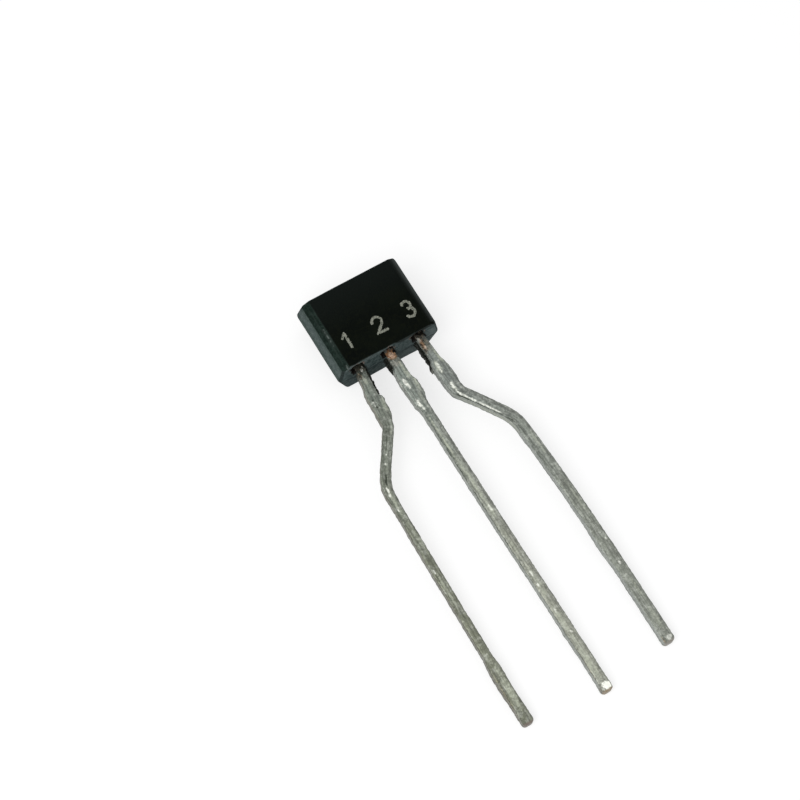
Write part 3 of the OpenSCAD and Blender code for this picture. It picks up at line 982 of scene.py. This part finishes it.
MIDDLE_SPOTS = {
    "copper": [(0.04, 0, 0.46, 0.46, 1), (0.38, 0, 0.4, 0.4, 0.1)],
    "brown": [(0.22, 0, 0.08, 0.42, 0.9), (-0.28, 0, 0.16, 0.4, 0.7), (14.5, -0.36, 0.5, 0.3, 0.7),
        (13.6, -0.2, 1.9, 0.06, 0.5), (14.62, 0, 0.08, 0.44, 0.6)],
    "pale": [(0.75, 0.1, 0.95, 0.09, 0.8), (1.5, 0.22, 0.65, 0.16, 0.65), (3.2, -0.08, 1, 0.07, 0.8),
        (4.1, -0.08, 1.2, 0.08, 0.9), (5, -0.08, 0.9, 0.07, 0.8), (5.9, -0.03, 1.6, 0.12, 0.7),
        (6.9, -0.02, 0.7, 0.16, 0.8), (1, 0.2, 0.7, 0.08, 0.8), (13.3, -0.05, 2.2, 0.24, 0.6),
        (8.2, -0.06, 1.4, 0.1, 0.5), (10, -0.04, 1.6, 0.14, 0.5), (11.6, -0.04, 1.2, 0.16, 0.6),
        (13.5, -0.13, 1, 0.04, 0.8), (2, 0.1, 0.5, 0.12, 0.4)],
    "bright": [(0.06, 0, 0.26, 0.24, 1.2), (1.2, -0.36, 0.24, 0.2, 0.7), (1.24, -0.13, 0.3, 0.14, 1),
        (1.42, -0.08, 0.3, 0.09, 1), (2.13, -0.14, 0.4, 0.08, 1), (2.25, -0.09, 0.5, 0.07, 1),
        (2.42, -0.06, 0.32, 0.06, 0.9), (6.85, 0, 0.28, 0.1, 0.8), (9.65, -0.05, 0.24, 0.09, 0.7),
        (10.13, -0.08, 0.16, 0.08, 0.8), (11.22, -0.05, 0.2, 0.07, 0.7), (12.15, 0.02, 0.1, 0.07, 0.9),
        (14.4, 0.03, 0.28, 0.36, 2)],
    "dark": [(0.85, 0.01, 0.75, 0.06, 0.6), (1.5, 0.06, 0.4, 0.08, 0.3), (3.2, -0.145, 0.9, 0.035, 0.5),
        (4.3, -0.145, 1.3, 0.035, 0.9), (5.3, -0.15, 0.8, 0.035, 0.5), (1.45, -0.45, 1.2, 0.2, 0.3),
        (9, -0.12, 0.22, 0.07, 0.6), (10.32, 0.12, 0.3, 0.06, 0.6), (3.1, -0.07, 0.09, 0.05, 0.5)],
    "dents": [(1.1, 0.02, 0.1, 0.01), (3.1, -0.07, 0.05, 0.012), (6.85, 0, 0.1, 0.01),
        (9, -0.12, 0.08, 0.012)],
}
RIGHT_SPOTS = {
    "copper": [(0.26, -0.08, 0.5, 0.16, 0.75)],
    "brown": [(-0.15, 0, 0.45, 0.6, 0.7), (0.3, 0, 0.7, 0.4, 0.4), (0.35, -0.15, 0.7, 0.1, 0.9),
        (14.45, -0.22, 0.3, 0.1, 0.6)],
    "pale": [(0.4, 0, 0.5, 0.3, 0.3), (0.85, 0.12, 0.6, 0.1, 0.7), (3.8, -0.4, 3, 0.2, 0.7),
        (4.85, -0.42, 0.9, 0.22, 0.6), (1.3, -0.12, 0.6, 0.2, 0.8), (1.1, 0.16, 0.4, 0.12, 0.7),
        (2.25, -0.1, 0.5, 0.14, 0.6), (6, 0.05, 1.2, 0.12, 0.35), (8.4, 0.06, 1.4, 0.1, 0.35),
        (12.3, 0.05, 0.9, 0.1, 0.4), (13.6, 0, 1, 0.2, 0.35)],
    "bright": [(0.06, -0.1, 0.2, 0.12, 0.9), (0.42, -0.06, 0.14, 0.1, 0.7), (1.26, -0.1, 0.34, 0.12, 0.95),
        (1.47, -0.12, 0.18, 0.08, 0.8), (2.2, -0.1, 0.44, 0.13, 1), (2.65, -0.11, 0.7, 0.08, 1),
        (3.1, -0.115, 0.8, 0.075, 1), (3.6, -0.115, 0.8, 0.07, 1), (4, -0.115, 0.6, 0.055, 1),
        (10.25, 0.1, 0.15, 0.07, 0.8), (11.25, 0.03, 0.15, 0.08, 0.9), (14.42, 0, 0.22, 0.3, 0.6)],
    "dark": [(-0.1, 0, 0.3, 0.4, 0.5), (0.12, 0.04, 0.34, 0.05, 0.9), (0.36, -0.03, 0.36, 0.07, 1),
        (0.56, -0.07, 0.2, 0.05, 0.6), (3.6, 0, 0.4, 0.08, 0.5), (2.8, -0.185, 0.7, 0.065, 1.1),
        (3.4, -0.185, 0.8, 0.065, 1.1), (4, -0.185, 0.8, 0.065, 1.1), (4.6, -0.17, 0.6, 0.07, 0.9),
        (5.3, -0.15, 1, 0.06, 0.5), (6.6, -0.15, 1.2, 0.06, 0.4), (14.46, 0.15, 0.09, 0.09, 0.9),
        (1.4, -0.5, 1.2, 0.22, 0.5)],
    "dents": [(3.6, 0, 0.12, 0.01), (0.1, 0.03, 0.06, 0.015), (10.25, 0.1, 0.06, 0.008)],
}

# ---------------- the object

resin = resin_look()
make_body(resin)
make_marks(mark_look())

flash = flash_look()
make_flash("flash_left_lead", -ROOT_PITCH, -LEFT_SPLAY, 1,
           [(-0.1, 0.045, 1.2, 0.85), (0.3, 0.035, 1.2, 0.85), (0.8, 0.045, 1.19, 0.85),
            (1.1, 0.045, 1.17, 0.9)], 50, False, flash)
make_flash("flash_middle_lead", 0, MIDDLE_LEAN, -1,
           [(-0.1, 0.1, 1.1, 0.82), (0.25, 0.12, 1.08, 0.82), (0.5, 0.12, 1, 0.82),
            (0.64, 0.07, 0.92, 0.82)], 60, False, flash)
make_flash("flash_right_lead", ROOT_PITCH, RIGHT_SPLAY, -1,
           [(-0.1, 0.12, 1.14, 0.82), (0.25, 0.07, 1.12, 0.82), (0.42, 0.1, 1.1, 0.82),
            (0.62, 0.12, 1.06, 0.82), (0.72, 0.065, 1.05, 0.84), (0.84, 0.12, 1.02, 0.82),
            (1, 0.1, 1, 0.84), (1.12, 0.15, 1, 0.82), (1.3, 0.15, 0.98, 0.82)],
           71, True, flash)

make_lead("lead_left", "emitter_lead", LEFT_SHAPE, LEFT_SPOTS,
          lead_path(-ROOT_PITCH, -1, LEFT_SPLAY, LEFT_CRANK_START, LEFT_LEN),
          tin_look("tin_left", "777e76", "757869", "707063", "7d736c"), 100)
make_lead("lead_middle", "collector_lead", MIDDLE_SHAPE, MIDDLE_SPOTS,
          lead_path(0, 0, MIDDLE_LEAN, 0, MIDDLE_LEN),
          tin_look("tin_middle", "7c857f", "95978b", "989d96", "94836c"), 200)
make_lead("lead_right", "base_lead", RIGHT_SHAPE, RIGHT_SPOTS,
          lead_path(ROOT_PITCH, 1, RIGHT_SPLAY, RIGHT_CRANK_START, RIGHT_LEN),
          tin_look("tin_right", "7a807c", "81857c", "999e98", "8d877f"), 300)

INNER_LOOKS = {
    "silicon_die": inner_look("silicon", "3a424d", "6b7482", 0.3, 9000),
    "die_attach": inner_look("solder", "9a9da1", "c2c5c8", 0.9, 14000),
    "emitter_bond_wire": inner_look("gold_wire", "b8862f", "e3b85c", 1.0, 20000),
}
INNER_LOOKS["base_bond_wire"] = INNER_LOOKS["emitter_bond_wire"]
for node, material in INNER_LOOKS.items():
    materials = frame["nodes"][node].data.materials
    materials.clear()
    materials.append(material)

# ---------------- stage, light and camera

WHITE = (1, 1, 1, 1)
FLOOR_HALF = 0.6
FLOOR_GREY = (0.4, 0.4, 0.4, 1)
FLOOR_GLOW = 0.68
AMBIENT = 0.62
BACKDROP = 1


def seen_directly(tree):
    """1 for rays from the camera, whether straight, mirrored or through glass, and else 0."""
    rays = tree.nodes.new("ShaderNodeLightPath")
    seen = rays.outputs["Is Camera Ray"]
    for kind in ("Is Glossy Ray", "Is Transmission Ray"):
        either = tree.nodes.new("ShaderNodeMath")
        either.operation = "MAXIMUM"
        tree.links.new(seen, either.inputs[0])
        tree.links.new(rays.outputs[kind], either.inputs[1])
        seen = either.outputs[0]
    return seen


def make_floor():
    """A pale floor just under the part, white wherever no shadow falls."""
    mesh = bpy.data.meshes.new("floor")
    ways = ((-1, -1), (1, -1), (1, 1), (-1, 1))
    height = cad_low.z - 0.005 * MM
    corners = [(FLOOR_HALF * x, FLOOR_HALF * y, height) for x, y in ways]
    mesh.from_pydata(corners, [], [(0, 1, 2, 3)])
    add_object("floor", mesh)
    paper = Look("pale_floor", Roughness=0.9, Specular_IOR_Level=0.0)
    glow = paper.math("MULTIPLY", seen_directly(paper.tree), FLOOR_GLOW)
    paper.feed(paper.shader, {"Base Color": FLOOR_GREY, "Emission Color": WHITE,
                              "Emission Strength": glow})
    mesh.materials.append(paper.material)


def make_world():
    """A white backdrop, which lights the part less brightly than it shows."""
    world = bpy.data.worlds.new("studio")
    bpy.context.scene.world = world
    world.use_nodes = True
    tree = world.node_tree
    background = tree.nodes["Background"]
    strength = tree.nodes.new("ShaderNodeMapRange")
    strength.inputs["To Min"].default_value = AMBIENT
    strength.inputs["To Max"].default_value = BACKDROP
    tree.links.new(seen_directly(tree), strength.inputs["Value"])
    tree.links.new(strength.outputs[0], background.inputs["Strength"])
    background.inputs["Color"].default_value = WHITE


def soft_lamp(name, way, distance, size, level):
    """A square lamp. At level 1, a white floor that faces it shows as white."""
    lamp = bpy.data.lights.new(name, "AREA")
    lamp.size = size
    lamp.energy = level * pi ** 2 * distance ** 2
    holder = add_object(name, lamp)
    way = Vector(way).normalized()
    holder.location = way * distance
    holder.rotation_mode = "QUATERNION"
    holder.rotation_quaternion = way.to_track_quat("Z", "Y")


# The photograph's viewing angle, and where it is seen from in millimetres
SIGHT = Vector((0.23435, 0.33418, -0.91290))
UPWARD = Vector((0.46311, 0.78728, 0.40708))
VIEWPOINT = Vector((-21.963, -26.402, 84.182))
LENS = 113.45
SENSOR = 36


def make_camera():
    sight = SIGHT.normalized()
    sideways = sight.cross(UPWARD).normalized()
    camera = bpy.data.cameras.new("camera")
    camera.lens = LENS
    camera.sensor_width = SENSOR
    camera.clip_start = 0.005
    camera.clip_end = 5
    holder = add_object("camera", camera)
    turn = Matrix((sideways, sideways.cross(sight), -sight)).transposed().to_4x4()
    holder.matrix_world = Matrix.Translation(VIEWPOINT * MM) @ turn
    bpy.context.scene.camera = holder


make_floor()
make_world()
soft_lamp("key", (-0.58, -0.21, 0.79), 0.09, 0.06, 0.42)
make_camera()
bpy.context.scene.view_settings.view_transform = "Standard"
